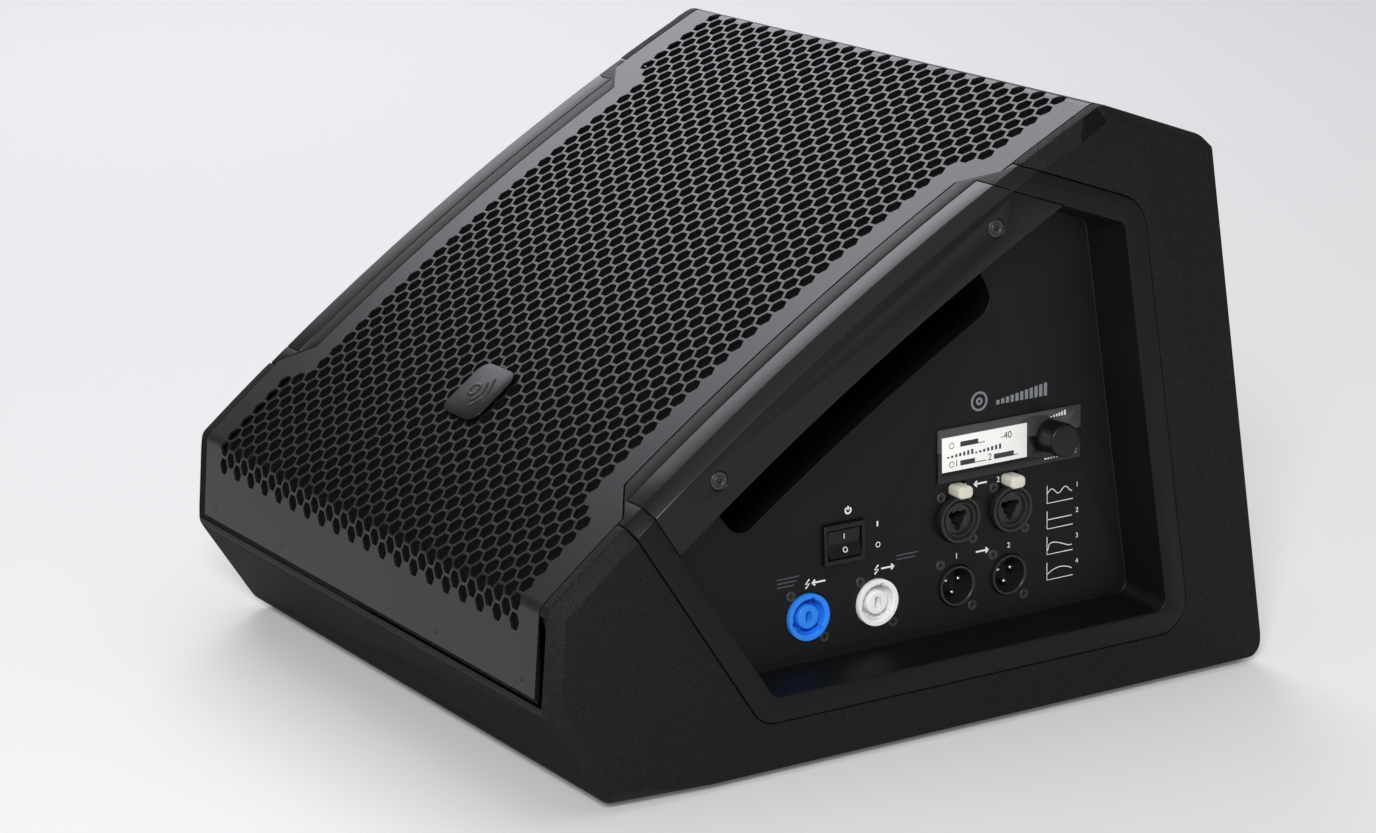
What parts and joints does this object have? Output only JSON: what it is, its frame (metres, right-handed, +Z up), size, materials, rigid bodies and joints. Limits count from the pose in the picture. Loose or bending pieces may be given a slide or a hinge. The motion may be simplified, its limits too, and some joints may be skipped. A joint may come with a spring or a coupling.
{
  "type": "stage monitor wedge",
  "caption": "Powered wedge floor monitor loudspeaker with a bowed perforated grille, recessed side grips and a side control panel.",
  "frame": {"origin": "centre of the bounding box's bottom face, on the floor under the cabinet", "axes": "+Z up, -Y out of the grilled front towards the performer, +X towards the side that carries the control panel"},
  "size_m": [0.3924, 0.419, 0.302],
  "materials": {
    "coated_cabinet": "black speckled polyurea coating over plywood, rough",
    "baffle_wood": "plywood stained black",
    "grille_steel": "satin black powder coat over perforated steel",
    "moulded_plastic": "fine-grained black moulding",
    "connector_black": "semi-gloss black glass-filled nylon",
    "connector_blue": "bright blue nylon",
    "connector_white": "white nylon",
    "tab_cream": "cream push tab",
    "dark_screw": "black zinc plated screw",
    "bright_steel": "plain turned steel",
    "badge_metal": "dark anodised plate",
    "foam": "open-cell black foam",
    "smoked_window": "printed dark window",
    "display_glass": "backlit display, off-white",
    "circuit_board": "green laminate",
    "aluminium": "extruded",
    "transformer_core": "wound core in yellow tape",
    "black_iron": "black painted steel",
    "ferrite": "sintered ferrite",
    "cone_paper": "coated paper cone",
    "black_rubber": "black rubber",
    "copper": "copper winding on a former",
    "spider_cloth": "treated cotton",
    "wadding": "polyester wadding"
  },
  "bodies": {
    "cabinet": {"right_side_panel": "coated_cabinet", "left_side_panel": "coated_cabinet", "bottom_panel": "coated_cabinet", "chin_panel": "coated_cabinet", "nose_panel": "coated_cabinet", "top_panel": "coated_cabinet", "back_panel": "coated_cabinet", "baffle_board": "baffle_wood", "grille": "grille_steel", "right_tray": "moulded_plastic", "left_tray": "moulded_plastic", "right_grip_cover": "moulded_plastic", "left_grip_cover": "moulded_plastic", "switch_bezel": "moulded_plastic", "right_port_tube": "moulded_plastic", "left_port_tube": "moulded_plastic", "tweeter_horn": "moulded_plastic", "combo_input_1": "connector_black", "combo_input_2": "connector_black", "thru_output_1": "connector_black", "thru_output_2": "connector_black", "power_inlet": "connector_blue", "power_outlet": "connector_white", "grille_screw_1": "dark_screw", "grille_screw_2": "dark_screw", "grille_screw_3": "dark_screw", "grille_screw_4": "dark_screw", "right_grip_screw_1": "dark_screw", "right_grip_screw_2": "dark_screw", "left_grip_screw_1": "dark_screw", "left_grip_screw_2": "dark_screw", "encoder_body": "bright_steel", "grille_badge": "badge_metal", "grille_foam": "foam", "display_window": "smoked_window", "display_glass": "display_glass", "input_board": "circuit_board", "supply_board": "circuit_board", "amplifier_heatsink": "aluminium", "supply_transformer": "transformer_core", "woofer_frame": "black_iron", "woofer_front_plate": "black_iron", "woofer_yoke": "black_iron", "tweeter_driver": "black_iron", "woofer_magnet": "ferrite", "woofer_surround": "black_rubber", "rubber_foot_1": "black_rubber", "rubber_foot_2": "black_rubber", "rubber_foot_3": "black_rubber", "rubber_foot_4": "black_rubber", "woofer_spider": "spider_cloth", "back_wadding": "wadding"},
    "rocker": {"switch_rocker": "moulded_plastic"},
    "encoder_push": {"encoder_plunger": "connector_white"},
    "knob": {"encoder_shaft": "bright_steel", "volume_knob": "moulded_plastic"},
    "tab_1": {"combo_tab_1": "tab_cream"},
    "tab_2": {"combo_tab_2": "tab_cream"},
    "cone": {"woofer_cone": "cone_paper", "voice_coil": "copper"}
  },
  "joints": [
    {"name": "rocker_hinge", "type": "hinge", "parent": "cabinet", "child": "rocker", "pos_m": [0.1684, -0.02875, 0.1001], "axis": [0, 1, 0], "range_deg": [0, 16]},
    {"name": "knob_push", "type": "slide", "parent": "cabinet", "child": "encoder_push", "axis": [-1, 0, 0], "range_m": [0, 0.0005], "stiffness_N_per_m": 6000},
    {"name": "knob_turn", "type": "hinge", "parent": "encoder_push", "child": "knob", "pos_m": [0.1684, 0.09365, 0.1346], "axis": [1, 0, 0], "continuous": true},
    {"name": "tab_1_push", "type": "slide", "parent": "cabinet", "child": "tab_1", "axis": [-1, 0, 0], "range_m": [0, 0.0015], "stiffness_N_per_m": 1500},
    {"name": "tab_2_push", "type": "slide", "parent": "cabinet", "child": "tab_2", "axis": [-1, 0, 0], "range_m": [0, 0.0015], "stiffness_N_per_m": 1500},
    {"name": "cone_slide", "type": "slide", "parent": "cabinet", "child": "cone", "axis": [0, -0.5354, 0.8446], "range_m": [-0.004, 0.004], "stiffness_N_per_m": 3000}
  ]
}
